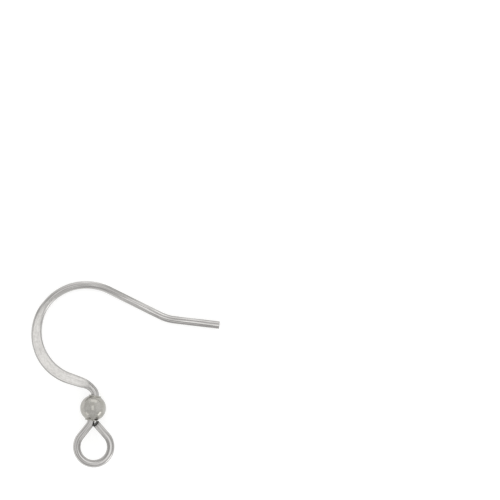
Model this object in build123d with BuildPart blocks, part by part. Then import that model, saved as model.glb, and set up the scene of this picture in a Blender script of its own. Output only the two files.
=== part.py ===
from build123d import *
import os
from collections import namedtuple

os.makedirs("parts", exist_ok=True)

# An ear wire: a fish-hook of round wire, pressed flat down its front, that ends in an open
# charm loop, with a small hollow ball held on the stem between the two.
# Millimetres and degrees. The wire is bent in one plane, with u to the right and v up from
# the ball's centre, and that plane leans a little because the part lies on a flat surface.

# Wire
wire_dia = 0.72
wire_rad = wire_dia / 2

# Ball
ball_dia = 2.50
ball_height = 2.44
ball_wall = 0.28
lip_dia = 1.20
hole_dia = 0.80

# The part lies on the ball, the top of the hook and the tip of the tail
ball_x = -3.11
ball_y = -3.23
rise_across = 0.0242
rise_along = 0.0751

# Stem, which runs through the ball
stem_lean = 9.3
stem_above = 1.15
stem_below = 1.335

# Over-bend from the stem to the front of the hook, tight at first and then slack
tight_radius = 0.72
tight_turn = 44.8
slack_radius = 1.91
slack_turn = 35.65
slack_round = 14.7

# Front and top of the hook
front_straight = 1.54
front_radius = 4.585
front_turn = 133.9
front_pressed = 112.0
top_radius = 5.005
top_turn = 53.65

# Back slope and tail
slope_length = 5.455
tail_radius = 4.33
tail_turn = 19.73
tail_length = 4.30
tip_chamfer = 0.04

# Charm loop
neck_radius = 0.77
neck_turn = 29.35
leg_length = 1.33
loop_radius = 1.627
loop_turn = 259.85

# Cut end of the loop, nipped off on the slant so that it lies along the neck beside it
end_length = 1.48
cut_slant = 6.0
cut_lift = 24.0

# How wide the pressed wire has spread, by the share of the front's length from the over-bend
Station = namedtuple("Station", "share width")
pressed_widths = [
    Station(0.0, wire_dia),
    Station(0.067, 0.97),
    Station(0.20, 1.08),
    Station(0.46, 1.13),
    Station(0.66, 1.02),
    Station(0.85, 0.90),
    Station(1.0, wire_dia),
]

# Press faces: the gap between them, and where and how steeply they leave the wire
press_gap = 0.39
press_depth = 1.0
press_reach = 18.0
entry_foot = 6.6
entry_slope = 0.047
exit_heading = -30.0
exit_foot = -2.15
exit_slope = 0.206


wire_plane = Plane(
    origin=(ball_x, ball_y, ball_dia / 2),
    x_dir=(1, 0, -rise_across),
    z_dir=(rise_across, rise_along, 1),
)
ball_centre = wire_plane.origin
stem_up = wire_plane.y_dir.rotate(Axis(ball_centre, wire_plane.z_dir), -stem_lean)


def square_to(route, along=1.0):
    """The plane square to a route, with its x in the wire plane."""
    heading = route % along
    return Plane(origin=route @ along, x_dir=heading.cross(wire_plane.z_dir), z_dir=heading)


# The routes, from the tip of the tail to the cut end of the loop
with BuildLine(wire_plane) as stem_route:
    stem_run = Line(ball_centre, ball_centre + stem_up * stem_above)
    tight_bend = JernArc(stem_run @ 1, stem_run % 1, tight_radius, tight_turn)
    slack_start = JernArc(tight_bend @ 1, tight_bend % 1, slack_radius, slack_round)

with BuildLine(wire_plane) as front_route:
    slack_end = JernArc(slack_start @ 1, slack_start % 1, slack_radius, slack_turn - slack_round)
    front_run = Line(slack_end @ 1, slack_end @ 1 + (slack_end % 1) * front_straight)
    front_bend = JernArc(front_run @ 1, front_run % 1, front_radius, -front_pressed)

front_wire = front_route.wire()

with BuildLine(wire_plane) as top_route:
    front_top = JernArc(front_bend @ 1, front_bend % 1, front_radius, front_pressed - front_turn)
    top_bend = JernArc(front_top @ 1, front_top % 1, top_radius, -top_turn)
    slope = Line(top_bend @ 1, top_bend @ 1 + (top_bend % 1) * slope_length)
    tail_bend = JernArc(slope @ 1, slope % 1, tail_radius, tail_turn)

with BuildLine(wire_plane) as loop_route:
    below_ball = Line(ball_centre, ball_centre - stem_up * stem_below)
    neck = JernArc(below_ball @ 1, below_ball % 1, neck_radius, -neck_turn)
    leg = Line(neck @ 1, neck @ 1 + (neck % 1) * leg_length)
    loop = JernArc(leg @ 1, leg % 1, loop_radius, loop_turn)


def press_side(foot, slope):
    """One face of the press from the side: flat up to its foot, then sloping off the wire."""
    face_height = press_gap / 2
    far = foot + (press_depth - face_height) / slope
    return [(-press_reach, face_height), (foot, face_height), (far, press_depth), (-press_reach, press_depth)]


# The press takes away all outside its two faces, from the wire's entry below the top of the
# hook to its exit above the ball
entry_plane = Plane(origin=ball_centre, x_dir=wire_plane.y_dir, z_dir=wire_plane.x_dir)
exit_way = wire_plane.x_dir.rotate(Axis(ball_centre, wire_plane.z_dir), exit_heading)
exit_plane = Plane(origin=ball_centre, x_dir=exit_way, z_dir=exit_way.cross(wire_plane.z_dir))

with BuildPart() as press:
    with BuildSketch(entry_plane):
        Polygon(*press_side(entry_foot, entry_slope), align=None)
    extrude(amount=press_reach, both=True)
    with BuildSketch(exit_plane):
        Polygon(*press_side(exit_foot, exit_slope), align=None)
    extrude(amount=press_reach, both=True, mode=Mode.INTERSECT)
    mirror(about=wire_plane)


# The loop's last leg, with its cut face turned towards the neck and up
end_heading = loop % 1
cut_side = end_heading.cross(wire_plane.z_dir).rotate(Axis(ball_centre, wire_plane.z_dir), cut_slant)
cut_out = wire_plane.z_dir.cross(cut_side)
cut_face = cut_out.rotate(Axis(ball_centre, cut_side), cut_lift)

with BuildPart() as loop_end:
    with BuildSketch(square_to(loop)):
        Circle(wire_rad)
    extrude(amount=end_length + wire_dia)
    split(bisect_by=Plane(origin=loop @ 1 + end_heading * end_length, z_dir=cut_face), keep=Keep.BOTTOM)


with BuildPart() as ear_hook:
    # Front, spread to the stations' widths and then cut back to the press faces
    for station in pressed_widths:
        with BuildSketch(square_to(front_wire, station.share)):
            Ellipse(station.width / 2, wire_rad)
    sweep(path=front_wire, multisection=True)
    add(press.part, mode=Mode.SUBTRACT)
    # Round wire on both sides of it
    for route in (stem_route.wire(), top_route.wire(), loop_route.wire()):
        with BuildSketch(square_to(route, 0)):
            Circle(wire_rad)
        sweep(path=route)
    add(loop_end.part)
    # Straight tail, its tip deburred
    with BuildSketch(square_to(tail_bend)):
        Circle(wire_rad)
    extrude(amount=tail_length)
    chamfer(ear_hook.edges().sort_by(Axis.X)[-1], tip_chamfer)
ear_hook.part.label = "ear_hook"
export_step(ear_hook.part, "parts/ear_hook.step")


# Hollow ball with a turned-in lip at each hole: half of its section, spun about the stem
ball_section = Plane(origin=ball_centre, x_dir=stem_up.cross(wire_plane.z_dir), z_dir=wire_plane.z_dir)
ball_rad = ball_dia / 2
lip_rad = lip_dia / 2
lip_top = ball_height / 2
lip_root = (ball_rad**2 - lip_rad**2) ** 0.5
hole_rad = hole_dia / 2
inside_rad = ball_rad - ball_wall
inside_top = (inside_rad**2 - hole_rad**2) ** 0.5

with BuildPart() as ball_bead:
    with BuildSketch(ball_section):
        with BuildLine():
            Polyline((lip_rad, lip_root), (lip_rad, lip_top), (hole_rad, lip_top), (hole_rad, inside_top))
            ThreePointArc((hole_rad, inside_top), (inside_rad, 0), (hole_rad, -inside_top))
            Polyline(
                (hole_rad, -inside_top), (hole_rad, -lip_top), (lip_rad, -lip_top), (lip_rad, -lip_root)
            )
            ThreePointArc((lip_rad, -lip_root), (ball_rad, 0), (lip_rad, lip_root))
        make_face()
    revolve(axis=Axis(ball_centre, stem_up))
ball_bead.part.label = "ball_bead"
export_step(ball_bead.part, "parts/ball_bead.step")
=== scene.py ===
import math
import bpy
import numpy as np
from mathutils import Matrix, Vector


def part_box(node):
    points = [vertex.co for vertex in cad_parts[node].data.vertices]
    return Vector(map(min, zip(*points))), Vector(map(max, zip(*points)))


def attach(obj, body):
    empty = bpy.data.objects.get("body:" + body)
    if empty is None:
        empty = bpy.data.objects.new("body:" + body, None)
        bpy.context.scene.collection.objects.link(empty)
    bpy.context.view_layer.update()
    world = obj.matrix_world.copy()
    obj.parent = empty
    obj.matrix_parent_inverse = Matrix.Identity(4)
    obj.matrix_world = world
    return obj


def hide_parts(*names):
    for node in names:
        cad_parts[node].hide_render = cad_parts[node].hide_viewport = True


# A silver-plated ear wire that lies on a pale table: the bent wire and the ball on its stem.
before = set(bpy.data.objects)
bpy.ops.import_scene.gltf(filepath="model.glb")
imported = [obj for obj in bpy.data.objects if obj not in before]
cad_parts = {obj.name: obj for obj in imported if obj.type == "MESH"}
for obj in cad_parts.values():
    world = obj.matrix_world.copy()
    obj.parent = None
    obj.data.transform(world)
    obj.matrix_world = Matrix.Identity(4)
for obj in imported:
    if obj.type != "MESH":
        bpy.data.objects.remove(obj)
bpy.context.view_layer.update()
mm = 0.001
print("frame loaded:", ", ".join(sorted(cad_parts)))

# The wire is bent in one plane. u runs to the right in it, v up and w towards the camera, in
# millimetres from the ball's centre. It leans because the part lies on the ball, the top of
# the hook and the tip of the tail.
bendPlane = {"fallRight": 0.0242, "fallUp": 0.0751}

ballLow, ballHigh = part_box("ball_bead")
ballCentre = (ballLow + ballHigh) / 2
wAxis = Vector((bendPlane["fallRight"], bendPlane["fallUp"], 1)).normalized()
uAxis = Vector((1, 0, -bendPlane["fallRight"])).normalized()
vAxis = wAxis.cross(uAxis)
planeTurn = Matrix((uAxis, vAxis, wAxis)).transposed()
toFrame = Matrix.Translation(ballCentre) @ planeTurn.to_4x4() @ Matrix.Scale(mm, 4)


def makeMesh(name, points, faces, marks, finishes, faceFinish):
    # marks are named values at each point, which the materials read
    mesh = bpy.data.meshes.new(name)
    mesh.from_pydata([toFrame @ Vector(p) for p in points], [], faces)
    for markName, values in marks.items():
        kind = "FLOAT_VECTOR" if values.ndim == 2 else "FLOAT"
        mark = mesh.attributes.new(markName, kind, "POINT")
        field = "vector" if values.ndim == 2 else "value"
        mark.data.foreach_set(field, values.astype(np.float32).ravel())
    for finish in finishes:
        mesh.materials.append(finish)
    mesh.polygons.foreach_set("material_index", faceFinish)
    mesh.shade_smooth()
    mesh.update()
    piece = bpy.data.objects.new(name, mesh)
    bpy.context.scene.collection.objects.link(piece)
    return piece


def ringFaces(ringCount, around, firstPoint=0):
    # quads between rings of points, each ring closed on itself
    faces = []
    for i in range(ringCount - 1):
        a = firstPoint + i * around
        for j in range(around):
            k = (j + 1) % around
            faces.append((a + j, a + k, a + around + k, a + around + j))
    return faces


# Materials. One function turns a hex colour to linear, one adds a node, and one builds a metal
# from its dictionary.
def fromHex(code):
    parts = [int(code[i:i + 2], 16) / 255 for i in (1, 3, 5)]
    return (*[c / 12.92 if c <= 0.04045 else ((c + 0.055) / 1.055) ** 2.4 for c in parts], 1)


def addNode(tree, kind, settings, sockets):
    # a socket's value is a number, a colour or another node's output
    node = tree.nodes.new(kind)
    for key, value in settings.items():
        setattr(node, key, value)
    for key, value in sockets.items():
        if isinstance(value, bpy.types.NodeSocket):
            tree.links.new(value, node.inputs[key])
        else:
            node.inputs[key].default_value = value
    return node


def layColours(tree, sources, layers):
    # each layer lies over the ones before it, as far as its mark and its pattern let it: a
    # pattern shows nothing of the layer at its low value and the layer's share at its high one
    below = None
    for layer in layers:
        if "layers" in layer:
            top = layColours(tree, sources, layer["layers"])
        else:
            top = fromHex(layer["colour"])
        if below is None:
            below = top
            continue
        shares = []
        if "mark" in layer:
            shares.append(sources[layer["mark"]])
        if "pattern" in layer:
            shares.append(addNode(tree, "ShaderNodeMapRange", {}, {
                0: sources[layer["pattern"]], 1: layer["low"], 2: layer["high"],
                4: layer["share"]}).outputs[0])
        if len(shares) == 2:
            shares = [addNode(tree, "ShaderNodeMath", {"operation": "MULTIPLY"},
                              {0: shares[0], 1: shares[1]}).outputs[0]]
        mix = addNode(tree, "ShaderNodeMix", {"data_type": "RGBA"},
                      {0: shares[0], 6: below, 7: top})
        below = mix.outputs[2]
    return below


def makeMetal(look):
    material = bpy.data.materials.new(look["name"])
    material.use_nodes = True
    tree = material.node_tree
    shader = tree.nodes["Principled BSDF"]
    shader.inputs["Metallic"].default_value = 1

    # the marks that the mesh carries, and noise patterns whose grain is as large as their size,
    # in millimetres along each way of the mark that they are laid on
    sources = {}
    for mark in look["marks"]:
        read = addNode(tree, "ShaderNodeAttribute", {"attribute_name": mark}, {})
        sources[mark] = read.outputs["Fac"]
    laidOn = addNode(tree, "ShaderNodeAttribute", {"attribute_name": look["laidOn"]}, {})
    for name, pattern in look["patterns"].items():
        grain = addNode(tree, "ShaderNodeMapping", {}, {
            "Vector": laidOn.outputs["Vector"],
            "Scale": [1 / s for s in pattern["size"]],
            "Location": [pattern.get("start", 0)] * 3})
        noise = addNode(tree, "ShaderNodeTexNoise", {}, {
            "Vector": grain.outputs[0], "Scale": 1.0, "Detail": pattern["detail"]})
        sources[name] = noise.outputs[0]

    tree.links.new(layColours(tree, sources, look["layers"]), shader.inputs["Base Color"])

    shine = look["shine"]
    if "pattern" in shine:
        rough = addNode(tree, "ShaderNodeMapRange", {}, {
            0: sources[shine["pattern"]], 1: shine["low"], 2: shine["high"],
            3: shine["smooth"], 4: shine["rough"]}).outputs[0]
        if "pressed" in shine:
            rough = addNode(tree, "ShaderNodeMix", {"data_type": "FLOAT"}, {
                0: sources["pressed"], 2: rough, 3: shine["pressed"]}).outputs[0]
        tree.links.new(rough, shader.inputs["Roughness"])
    else:
        shader.inputs["Roughness"].default_value = shine["even"]

    # relief, each row as deep as its depth in millimetres
    below = {}
    for row in look["relief"]:
        height = sources[row["pattern"]]
        if "mark" in row:
            height = addNode(tree, "ShaderNodeMath", {"operation": "MULTIPLY"},
                             {0: height, 1: sources[row["mark"]]}).outputs[0]
        bump = addNode(tree, "ShaderNodeBump", {},
                       {"Height": height, "Distance": row["depth"] * mm, **below})
        below = {"Normal": bump.outputs[0]}
    tree.links.new(below["Normal"], shader.inputs["Normal"])
    print("metal:", look["name"])
    return material


# Drawn silver plate: brass wire pulled through a die, bent, pressed and then plated. The die
# leaves lines along the wire, broad soft ones and fine scratches, so its shine breaks up into
# streaks. A light tarnish greys it in clouds. The press burnishes its flats to a paler satin,
# and a darker line of painted shade runs along their edges, where the flat turns into the round
# wire. The pliers leave a rough patch on the over-bend and a paler rub on the loop.
drawnSilver = {
    "name": "drawnSilverPlate",
    "marks": ["pressed", "paintedEdgeShade", "gripped", "rubbed"],
    "laidOn": "straightWire",           # along the wire, across it and up from its middle
    "patterns": {
        # a worn die's scores, and then its polishing lines, which are really about 0.01 mm wide
        # and are drawn coarser to show
        "broadLines": {"size": (6.0, 0.19, 0.19), "detail": 2.0, "start": 7.3},
        "narrowLines": {"size": (4.0, 0.08, 0.08), "detail": 1.0, "start": 3.1},
        "fineLines": {"size": (1.8, 0.04, 0.04), "detail": 3.0},
        "clouds": {"size": (2.2, 0.8, 0.8), "detail": 4.0},         # tarnish
        "mottle": {"size": (0.25, 0.14, 0.14), "detail": 3.0},      # the press's ground face
        "grain": {"size": (0.07, 0.05, 0.05), "detail": 3.0},       # the pliers' filed jaws
    },
    "layers": [
        {"colour": "#BCBAB8"},          # tarnish
        {"colour": "#D3D1CF", "pattern": "clouds", "low": 0.35, "high": 0.65, "share": 1.0},
        {"colour": "#83817F", "pattern": "broadLines", "low": 0.46, "high": 0.62, "share": 0.45},
        {"colour": "#83817F", "pattern": "narrowLines", "low": 0.46, "high": 0.60, "share": 0.8},
        {"colour": "#D2D0CD", "mark": "rubbed"},
        {"colour": "#747270", "pattern": "fineLines", "low": 0.56, "high": 0.74, "share": 0.6},
        {"colour": "#747270", "mark": "gripped",
         "pattern": "grain", "low": 0.42, "high": 0.6, "share": 0.5},
        {"mark": "pressed", "layers": [
            {"colour": "#D2D0CD"},      # burnished by the press
            {"colour": "#B9B7B4", "pattern": "mottle", "low": 0.42, "high": 0.68, "share": 0.7},
            {"colour": "#747270", "pattern": "fineLines",
             "low": 0.56, "high": 0.74, "share": 0.35},
        ]},
        # painted shade: a darker line where each flat turns into the round wire
        {"colour": "#A9A7A5", "mark": "paintedEdgeShade"},
    ],
    "shine": {"pattern": "fineLines", "low": 0.35, "high": 0.65, "smooth": 0.18, "rough": 0.30,
              "pressed": 0.36},
    "relief": [
        {"pattern": "broadLines", "depth": 0.045},
        {"pattern": "narrowLines", "depth": 0.012},
        {"pattern": "fineLines", "depth": 0.003},
        {"pattern": "grain", "mark": "gripped", "depth": 0.012},
    ],
}

# Sheared silver plate: the cutters' face of the wire, torn in ridges across it and plated over,
# so it is rough. Its colours are painted much darker than the drawn side's, as painted shade.
shearedShadedSilver = {
    "name": "shearedShadedSilverPlate",
    "marks": [],
    "laidOn": "straightWire",
    "patterns": {
        "ridges": {"size": (0.3, 0.06, 0.5), "detail": 2.0},        # torn by the cutters
        "grain": {"size": (0.04, 0.04, 0.04), "detail": 3.0},       # crystals of the plating
    },
    "layers": [
        # painted shade: both colours of the cut face are far darker than the plate itself
        {"colour": "#5E5D5B"},          # between the ridges
        {"colour": "#8C8B89", "pattern": "ridges", "low": 0.35, "high": 0.65, "share": 1.0},
    ],
    "shine": {"even": 0.42},
    "relief": [
        {"pattern": "ridges", "depth": 0.012},
        {"pattern": "grain", "depth": 0.004},
    ],
}

# Tumbled silver plate: the ball is rolled with steel shot after plating, so it is smoother than
# the wire and a little warmer. Soft lines run from hole to hole, small scratches cross them,
# and the tarnish gathers in the corner of each lip, where the shot does not reach.
tumbledSilver = {
    "name": "tumbledSilverPlate",
    "marks": ["lipCorner"],
    "laidOn": "turned",                 # round the ball, and its length from hole to hole
    "patterns": {
        "polishLines": {"size": (0.09, 0.09, 1.6), "detail": 3.0},  # from the forming dies
        "scratches": {"size": (0.9, 0.9, 0.05), "detail": 2.0},     # really 0.01 mm, drawn coarser
        "clouds": {"size": (0.5, 0.5, 0.5), "detail": 4.0},         # tarnish
        "grain": {"size": (0.06, 0.06, 0.06), "detail": 3.0},       # dents of the shot
    },
    "layers": [
        {"colour": "#A3A19B"},          # tarnish
        {"colour": "#B4B2AD", "pattern": "clouds", "low": 0.38, "high": 0.62, "share": 1.0},
        {"colour": "#A3A19B", "pattern": "polishLines", "low": 0.5, "high": 0.72, "share": 0.5},
        {"colour": "#9A9891", "mark": "lipCorner"},
    ],
    "shine": {"pattern": "clouds", "low": 0.35, "high": 0.65, "smooth": 0.13, "rough": 0.24},
    "relief": [
        {"pattern": "polishLines", "depth": 0.003},
        {"pattern": "scratches", "depth": 0.0012},
        {"pattern": "grain", "depth": 0.0006},
    ],
}


# The bent wire. Each run goes straight for its length, or turns left by its turn, in degrees,
# on its radius. The pressed runs are the ones that went under the press.
hookWire = {
    "wireRadius": 0.36,
    "stemLean": 9.3,
    "fromBallUp": [
        {"run": "stem", "length": 1.15},
        {"run": "tight bend", "radius": 0.72, "turn": 44.8},
        {"run": "slack bend", "radius": 1.91, "turn": 14.7},
        {"run": "pressed slack bend", "radius": 1.91, "turn": 20.95},
        {"run": "pressed run", "length": 1.54},
        {"run": "pressed front", "radius": 4.585, "turn": -112.0},
        {"run": "front", "radius": 4.585, "turn": -21.9},
        {"run": "top", "radius": 5.005, "turn": -53.65},
        {"run": "slope", "length": 5.455},
        {"run": "tail bend", "radius": 4.33, "turn": 19.73},
        {"run": "tail", "length": 4.30},
    ],
    "fromBallDown": [
        {"run": "below the ball", "length": 1.335},
        {"run": "neck", "radius": 0.77, "turn": -29.35},
        {"run": "leg", "length": 1.33},
        {"run": "loop", "radius": 1.627, "turn": 259.85},
        {"run": "end", "length": 1.52},
    ],
    "spread": [                     # width of the pressed wire, by the share of its length
        {"share": 0.0, "width": 0.72},
        {"share": 0.067, "width": 0.97},
        {"share": 0.20, "width": 1.08},
        {"share": 0.46, "width": 1.13},
        {"share": 0.66, "width": 1.02},
        {"share": 0.85, "width": 0.90},
        {"share": 1.0, "width": 0.72},
    ],
    # the press faces are this far apart, and part at a foot with a slope: up the front, and
    # down towards the ball, across the exit heading
    "pressGap": 0.39,
    "entryFoot": 6.6, "entrySlope": 0.047,
    "exitHeading": -30.0, "exitFoot": -2.15, "exitSlope": 0.206,
    "footRounding": 0.15,
    "spreadRounding": 0.6,
    "cornerSharpness": 22,          # higher is a crisper corner between flat and round
    "cornerAngles": (28, 50),       # the columns crowd at the corner, kept between these
    "pressFade": 0.015, "edgeShadeWidth": 0.03,
    "cutSlant": 4.0, "cutLift": 22.0,   # how far the cut face turns towards the neck and up
    "tipRounding": 0.04, "cutRounding": 0.015,
    "gripAt": 2.1, "gripReach": 0.75,   # the pliers' patch, by the length up from the ball
    "rubAt": 11.2, "rubReach": 0.9,     # the rub that closed the loop, by the length down from it
    "rubShare": 0.45,
    "ringStep": 0.05,
    "quarterColumns": 16,
    "stepsToCut": (0.35, 0.7, 0.9),     # rings on the way to the cut, round its rim and inward
    "rimAngles": (0, 30, 60, 90),
    "stepsInward": (0.75, 0.5, 0.25),
    "tipDropped": 2, "cutDropped": 7,   # rings that the tip's and the cut's own rings stand for
}


def walkRuns(runs, heading):
    # rows of u, v, heading and length walked, from the ball's centre outwards
    rows = [(0.0, 0.0, heading, 0.0)]
    marks = {}
    for run in runs:
        u, v, heading, walked = rows[-1]
        turn = math.radians(run.get("turn", 0))
        length = run["radius"] * abs(turn) if turn else run["length"]
        count = math.ceil(length / hookWire["ringStep"])
        for i in range(1, count + 1):
            part, bend = length * i / count, turn * i / count
            chord = part * math.sin(bend / 2) / (bend / 2) if turn else part
            way = heading + bend / 2
            rows.append((u + chord * math.cos(way), v + chord * math.sin(way),
                         heading + bend, walked + part))
        marks[run["run"]] = (walked, walked + length)
    return np.array(rows), marks


def softStep(x, size):
    # 0 below zero and x above, with the corner rounded over about that size
    return size * np.logaddexp(0, x / size)


def pressHeight(u, v, outside):
    # how high above the plane of the bends the press leaves the wire. outside is how far along
    # the wire a point lies past the pressed stretch, where the press opens.
    wire = hookWire
    angle = math.radians(wire["exitHeading"])
    along = u * math.cos(angle) + v * math.sin(angle)
    entry = wire["entrySlope"] * softStep(v - wire["entryFoot"], wire["footRounding"])
    leave = wire["exitSlope"] * softStep(along - wire["exitFoot"], wire["footRounding"])
    return wire["pressGap"] / 2 + np.maximum(entry, leave) + outside / 2


def endRings(ring, centre, outward, faceNormal, rounding):
    # rings that take a wire to its cut: along the wire to the cut face, round its edge and in
    rings = []
    outward, faceNormal = np.array(outward), np.array(faceNormal)
    reach = ((centre - ring) @ faceNormal) / (outward @ faceNormal)
    for share in hookWire["stepsToCut"]:
        rings.append(ring + outward * ((reach - rounding) * share)[:, None])
    for angle in np.radians(hookWire["rimAngles"]):
        inset = 1 - rounding * (1 - math.cos(angle)) / hookWire["wireRadius"]
        back = rounding * (1 - math.sin(angle))
        onFace = ring + outward * reach[:, None]
        rings.append(centre + (onFace - centre) * inset - outward * back)
    rim = rings[-1]
    for share in hookWire["stepsInward"]:
        rings.append(centre + (rim - centre) * share)
    return rings


def hookRoute():
    # the wire's middle, as one list of rows from the tip of the tail to the cut end of the loop,
    # and where along it the pressed stretch and the ball lie
    lean = math.radians(90 - hookWire["stemLean"])
    up, upMarks = walkRuns(hookWire["fromBallUp"], lean)
    down, _ = walkRuns(hookWire["fromBallDown"], lean + math.pi)
    ballAlong = up[-1, 3]
    up = up[::-1].copy()
    up[:, 2] += math.pi
    up[:, 3] = ballAlong - up[:, 3]
    down[:, 3] += ballAlong
    pressedFrom = ballAlong - upMarks["pressed front"][1]
    pressedTo = ballAlong - upMarks["pressed slack bend"][0]
    return np.vstack((up, down[1:])), pressedFrom, pressedTo, ballAlong


def spreadWidth(along, pressedFrom, pressedTo):
    share = (pressedTo - along) / (pressedTo - pressedFrom)
    spread = hookWire["spread"]
    width = np.interp(share, [s["share"] for s in spread], [s["width"] for s in spread])
    reach = round(hookWire["spreadRounding"] / hookWire["ringStep"])
    window = np.hanning(2 * reach + 1)
    return np.convolve(np.pad(width, reach, mode="edge"), window / window.sum(), mode="valid")


def columnAngles(corner):
    # angles round each ring, evenly spread on the flats in width and on the sides in turn
    half = hookWire["quarterColumns"] // 2
    steps = np.arange(half) / half
    quarter = np.hstack((corner[:, None] * steps, np.arccos(np.cos(corner)[:, None] * (1 - steps))))
    back = math.pi - np.hstack((np.full((len(corner), 1), math.pi / 2), quarter[:, :0:-1]))
    return np.hstack((quarter, back, math.pi + quarter, math.pi + back))


def straightened(points, centre, heading, along):
    # where points of an end lie on the straightened wire: along it, beside it and above it
    offset = points - centre
    way = np.array([math.cos(heading), math.sin(heading), 0])
    side = np.array([-math.sin(heading), math.cos(heading), 0])
    return np.stack((along + offset @ way, offset @ side, points[:, 2]), axis=1)


def makeHook(drawn, sheared):
    wire = hookWire
    rows, pressedFrom, pressedTo, ballAlong = hookRoute()
    u, v, heading, along = rows.T
    width = spreadWidth(along, pressedFrom, pressedTo)
    outside = np.maximum(0, np.maximum(pressedFrom - along, along - pressedTo))

    # rings of an ellipse that the press has cut back to its faces
    radius = wire["wireRadius"]
    corner = np.arcsin(np.clip(pressHeight(u, v, outside) / radius, 0, 1))
    angles = columnAngles(np.clip(corner, *np.radians(wire["cornerAngles"])))
    side = width[:, None] / 2 * np.cos(angles)
    rise = radius * np.abs(np.sin(angles))
    pointU = u[:, None] - np.sin(heading)[:, None] * side
    pointV = v[:, None] + np.cos(heading)[:, None] * side
    limit = pressHeight(pointU, pointV, outside[:, None])
    power = wire["cornerSharpness"]
    height = rise * (1 + (rise / limit) ** power) ** (-1 / power)
    w = height * np.sign(np.sin(angles))
    rings = np.stack((pointU, pointV, w), axis=2)
    straight = np.stack((np.broadcast_to(along[:, None], side.shape), side, w), axis=2)
    pressed = np.clip((rise - height) / wire["pressFade"], 0, 1)
    # painted shade along the edges of the flats, where they turn into the round wire
    paintedEdgeShade = pressed * np.exp(-((rise - height) / wire["edgeShadeWidth"]) ** 2)
    gripped = np.exp(-((ballAlong - along - wire["gripAt"]) / wire["gripReach"]) ** 2)
    rubbed = np.exp(-((along - ballAlong - wire["rubAt"]) / wire["rubReach"]) ** 2)
    rubbed *= wire["rubShare"]

    # the square, deburred tip of the tail and the slanted cut of the loop
    firstRing, lastRing = wire["tipDropped"], len(rows) - wire["cutDropped"]
    tipCentre, cutCentre = np.array([u[0], v[0], 0]), np.array([u[-1], v[-1], 0])
    tipOut = np.array([-math.cos(heading[0]), -math.sin(heading[0]), 0])
    tipRings = endRings(rings[firstRing], tipCentre, tipOut, tipOut, wire["tipRounding"])[::-1]
    slant = heading[-1] + math.radians(wire["cutSlant"])
    lift = math.radians(wire["cutLift"])
    cutNormal = (math.cos(lift) * math.cos(slant), math.cos(lift) * math.sin(slant), math.sin(lift))
    cutOut = (math.cos(heading[-1]), math.sin(heading[-1]), 0)
    cutRings = endRings(rings[lastRing], cutCentre, cutOut, cutNormal, wire["cutRounding"])

    tipPoints = np.vstack((tipCentre, *tipRings))
    cutPoints = np.vstack((*cutRings, cutCentre))
    kept = slice(firstRing, lastRing + 1)
    points = np.vstack((tipPoints, *rings[kept], cutPoints))
    marks = {
        "straightWire": np.vstack((
            straightened(tipPoints, tipCentre, heading[0], 0), *straight[kept],
            straightened(cutPoints, cutCentre, heading[-1], along[-1]))),
    }
    plainTip, plainCut = np.zeros(len(tipPoints)), np.zeros(len(cutPoints))
    fades = {"pressed": pressed, "paintedEdgeShade": paintedEdgeShade,
             "gripped": gripped[:, None], "rubbed": rubbed[:, None]}
    for name, values in fades.items():
        values = np.broadcast_to(values, side.shape)
        marks[name] = np.concatenate((plainTip, values[kept].ravel(), plainCut))

    around = rings.shape[1]
    ringCount = (len(points) - 2) // around
    faces = ringFaces(ringCount, around, 1)
    lastPoint = len(points) - 1
    lastStart = lastPoint - around
    for j in range(around):
        k = (j + 1) % around
        faces.append((0, 1 + k, 1 + j))
        faces.append((lastPoint, lastStart + j, lastStart + k))
    # the flat of each end is sheared, and its darker colour is painted shade: its rings inside the
    # rounded rim and the fan at its middle
    flatRings = len(wire["stepsInward"])
    faceRing = np.repeat(np.arange(ringCount - 1), around)
    finish = (faceRing < flatRings) | (faceRing >= ringCount - 1 - flatRings)
    finish = np.concatenate((finish, np.ones(2 * around, bool))).astype(int)
    print("hook wire:", len(faces), "faces,", round(float(along[-1]), 2), "mm long")
    return makeMesh("hookWire", points, faces, marks, [drawn, sheared], finish)


# The ball: a hollow bead with a small turned lip round each hole, threaded on the stem
stemBall = {
    "radius": 1.25,
    "halfHeight": 1.22,
    "wall": 0.28,
    "lipRadius": 0.60,
    "holeRadius": 0.40,
    "lipRounding": 0.03,
    "lipAngles": (0, 30, 60, 90),
    "tarnishReach": 0.06,
    "around": 160,
    "outerRings": 96,
    "innerRings": 32,
}


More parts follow.
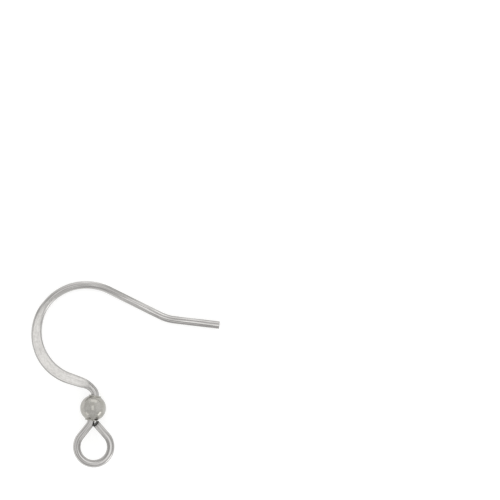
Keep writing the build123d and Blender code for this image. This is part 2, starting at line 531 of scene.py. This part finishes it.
def makeBall(finish):
    ball = stemBall
    lean = math.radians(hookWire["stemLean"])
    lipRoot = math.acos(ball["lipRadius"] / ball["radius"])
    rootHeight = ball["radius"] * math.sin(lipRoot)
    outer = [(ball["radius"] * math.cos(a), ball["radius"] * math.sin(a))
             for a in np.linspace(-lipRoot, lipRoot, ball["outerRings"])]
    soft = ball["lipRounding"]
    lip = [(ball["lipRadius"], rootHeight + soft / 2)]
    for angle in np.radians(ball["lipAngles"]):
        lip.append((ball["lipRadius"] - soft + soft * math.cos(angle),
                    ball["halfHeight"] - soft + soft * math.sin(angle)))
    for angle in np.radians(ball["lipAngles"]) + math.pi / 2:
        lip.append((ball["holeRadius"] + soft + soft * math.cos(angle),
                    ball["halfHeight"] - soft + soft * math.sin(angle)))
    insideRadius = ball["radius"] - ball["wall"]
    insideEnd = math.acos(ball["holeRadius"] / insideRadius)
    inner = [(insideRadius * math.cos(a), insideRadius * math.sin(a))
             for a in np.linspace(insideEnd, -insideEnd, ball["innerRings"])]
    profile = np.array(outer + lip + inner + [(r, -z) for r, z in reversed(lip)])
    around = ball["around"]
    turn = 2 * math.pi * np.arange(around) / around
    stem = np.array([math.sin(lean), math.cos(lean), 0])
    across = np.array([math.cos(lean), -math.sin(lean), 0])
    front = np.array([0, 0, 1])
    outward = np.cos(turn)[:, None] * across + np.sin(turn)[:, None] * front
    points = np.vstack([stem * z + outward * r for r, z in profile])
    closed = ringFaces(len(profile), around)
    last = (len(profile) - 1) * around
    for j in range(around):
        k = (j + 1) % around
        closed.append((last + j, last + k, k, j))
    faces = [f[::-1] for f in closed]
    # turned: round the ball on its full radius, and the length from hole to hole
    roundBall = ball["radius"] * np.stack((np.cos(turn), np.sin(turn)), axis=1)
    step = np.hypot(*np.diff(profile, axis=0, prepend=profile[:1]).T)
    turned = np.hstack((np.tile(roundBall, (len(profile), 1)),
                        np.repeat(np.cumsum(step), around)[:, None]))
    away = np.hypot(profile[:, 0] - ball["lipRadius"], np.abs(profile[:, 1]) - rootHeight)
    lipCorner = np.repeat(np.exp(-(away / ball["tarnishReach"]) ** 2), around)
    print("ball:", len(faces), "faces")
    marks = {"turned": turned, "lipCorner": lipCorner}
    return makeMesh("stemBall", points, faces, marks, [finish], np.zeros(len(faces), int))


hook = makeHook(makeMetal(drawnSilver), makeMetal(shearedShadedSilver))
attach(hook, "root")
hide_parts("ear_hook")
ball = makeBall(makeMetal(tumbledSilver))
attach(ball, "root")
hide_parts("ball_bead")

# Table, light and camera. The table is uncoated paper, which is matte and evenly pale, so it
# mirrors nothing and lets the silver stand out.
stage = {
    "tableSize": 3.0,
    "tableColour": "#B8B8B7",
    "tableGlow": 0.62,              # lit from below too, which takes its shadows away
    "tableRoughness": 0.9,
    "tableShine": 0.1,
    "brightWay": (0.4, 0.92, 0),    # the room is lighter on the far side
    "darkBelow": -0.5,              # and is darkest from this far behind that way
    "nearLight": 0.86, "farLight": 1.14,
    "viewWidth": 48.08,     # millimetres across the picture in the plane of the bends
    "aim": (15.09, 15.19, 0),
    "lens": 300,
    "sensorWidth": 36,
    "sees": (0.01, 10),             # metres
}
softBoxes = [                       # angles in degrees and sizes in metres
    {"name": "overhead", "height": 82, "bearing": 90, "away": 0.9,
     "size": (0.30, 0.60), "glow": 0.60},
    {"name": "farBank", "height": 14, "bearing": 82, "away": 1.0,
     "size": (0.8, 0.48), "glow": 0.50},
    {"name": "rightCard", "height": 9, "bearing": -41, "away": 0.7,
     "size": (0.36, 0.20), "glow": 1.5},
    {"name": "leftCard", "height": 15, "bearing": 223, "away": 0.7,
     "size": (0.28, 0.30), "glow": 0.65},
]


def makeTable():
    half = stage["tableSize"] / 2
    mesh = bpy.data.meshes.new("table")
    corners = [(-half, -half, 0), (half, -half, 0), (half, half, 0), (-half, half, 0)]
    mesh.from_pydata(corners, [], [(0, 1, 2, 3)])
    table = bpy.data.objects.new("table", mesh)
    bpy.context.scene.collection.objects.link(table)
    material = bpy.data.materials.new("mattePaper")
    material.use_nodes = True
    shader = material.node_tree.nodes["Principled BSDF"]
    shader.inputs["Base Color"].default_value = fromHex(stage["tableColour"])
    shader.inputs["Roughness"].default_value = stage["tableRoughness"]
    shader.inputs["Specular IOR Level"].default_value = stage["tableShine"]
    shader.inputs["Emission Color"].default_value = (1, 1, 1, 1)
    shader.inputs["Emission Strength"].default_value = stage["tableGlow"]
    mesh.materials.append(material)


def makeLights():
    world = bpy.data.worlds.new("room")
    world.use_nodes = True
    background = world.node_tree.nodes["Background"]
    way = addNode(world.node_tree, "ShaderNodeTexCoord", {}, {})
    facing = addNode(world.node_tree, "ShaderNodeVectorMath", {"operation": "DOT_PRODUCT"},
                     {0: way.outputs["Generated"], 1: stage["brightWay"]})
    glow = addNode(world.node_tree, "ShaderNodeMapRange", {}, {
        0: facing.outputs["Value"], 1: stage["darkBelow"],
        3: stage["nearLight"], 4: stage["farLight"]})
    world.node_tree.links.new(glow.outputs[0], background.inputs["Strength"])
    background.inputs["Color"].default_value = (1, 1, 1, 1)
    bpy.context.scene.world = world
    for box in softBoxes:
        light = bpy.data.lights.new(box["name"], "AREA")
        light.shape = "RECTANGLE"
        light.size, light.size_y = box["size"]
        light.energy = box["glow"] * math.pi * light.size * light.size_y
        lamp = bpy.data.objects.new(box["name"], light)
        height, bearing = math.radians(box["height"]), math.radians(box["bearing"])
        way = Vector((math.cos(height) * math.cos(bearing), math.cos(height) * math.sin(bearing),
                      math.sin(height)))
        lamp.location = way * box["away"]
        lamp.rotation_mode = "QUATERNION"
        lamp.rotation_quaternion = way.to_track_quat("Z", "Y")
        lamp.visible_camera = False
        bpy.context.scene.collection.objects.link(lamp)


def makeCamera():
    lens = bpy.data.cameras.new("camera")
    lens.lens = stage["lens"]
    lens.sensor_width = stage["sensorWidth"]
    distance = stage["viewWidth"] * mm * lens.lens / lens.sensor_width
    camera = bpy.data.objects.new("camera", lens)
    aim = toFrame @ Vector(stage["aim"])
    camera.matrix_world = Matrix.Translation(aim + wAxis * distance) @ planeTurn.to_4x4()
    lens.clip_start, lens.clip_end = stage["sees"]
    bpy.context.scene.collection.objects.link(camera)
    bpy.context.scene.camera = camera


makeTable()
makeLights()
makeCamera()
bpy.context.scene.view_settings.view_transform = "Standard"
print("table, lights and camera made")
